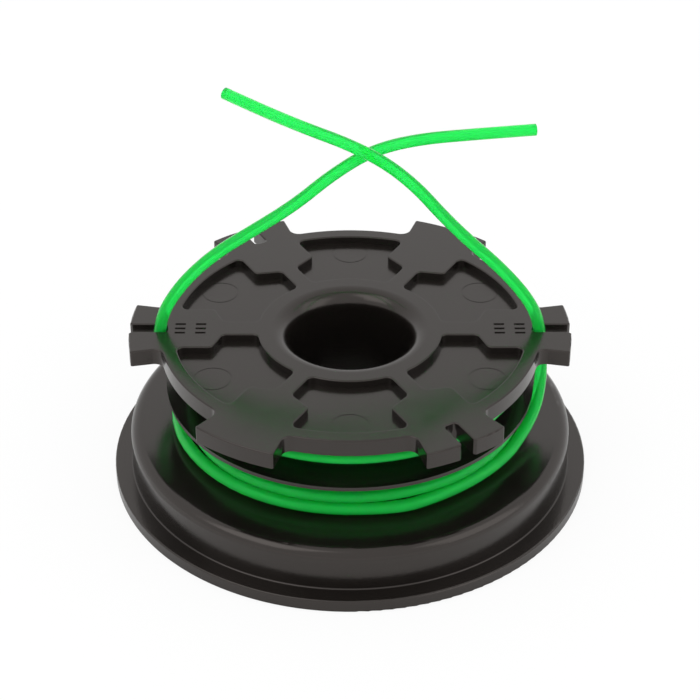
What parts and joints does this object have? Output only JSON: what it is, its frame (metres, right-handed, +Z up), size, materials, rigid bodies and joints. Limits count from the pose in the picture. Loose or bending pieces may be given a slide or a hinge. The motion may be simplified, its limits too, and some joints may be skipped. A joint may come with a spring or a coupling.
{
  "type": "trimmer line spool",
  "caption": "Moulded plastic spool for a grass trimmer head, wound with two lengths of green nylon cutting line whose ends come up through slots in the top flange.",
  "frame": {"origin": "on the bore's axis, in the plane of the brim's underside, which the spool stands on", "axes": "+Z up along the bore's axis to the slotted top flange; the two line slots in use lie on +X and -X; the front is -Y"},
  "size_m": [0.0948, 0.0948, 0.071],
  "materials": {
    "moulding": "satin moulded, black",
    "line": "glossy, translucent green"
  },
  "bodies": {
    "root": {"spool": "moulding", "lower_winding": "line", "upper_winding": "line", "lower_line_tail": "line", "upper_line_tail": "line"}
  },
  "joints": []
}
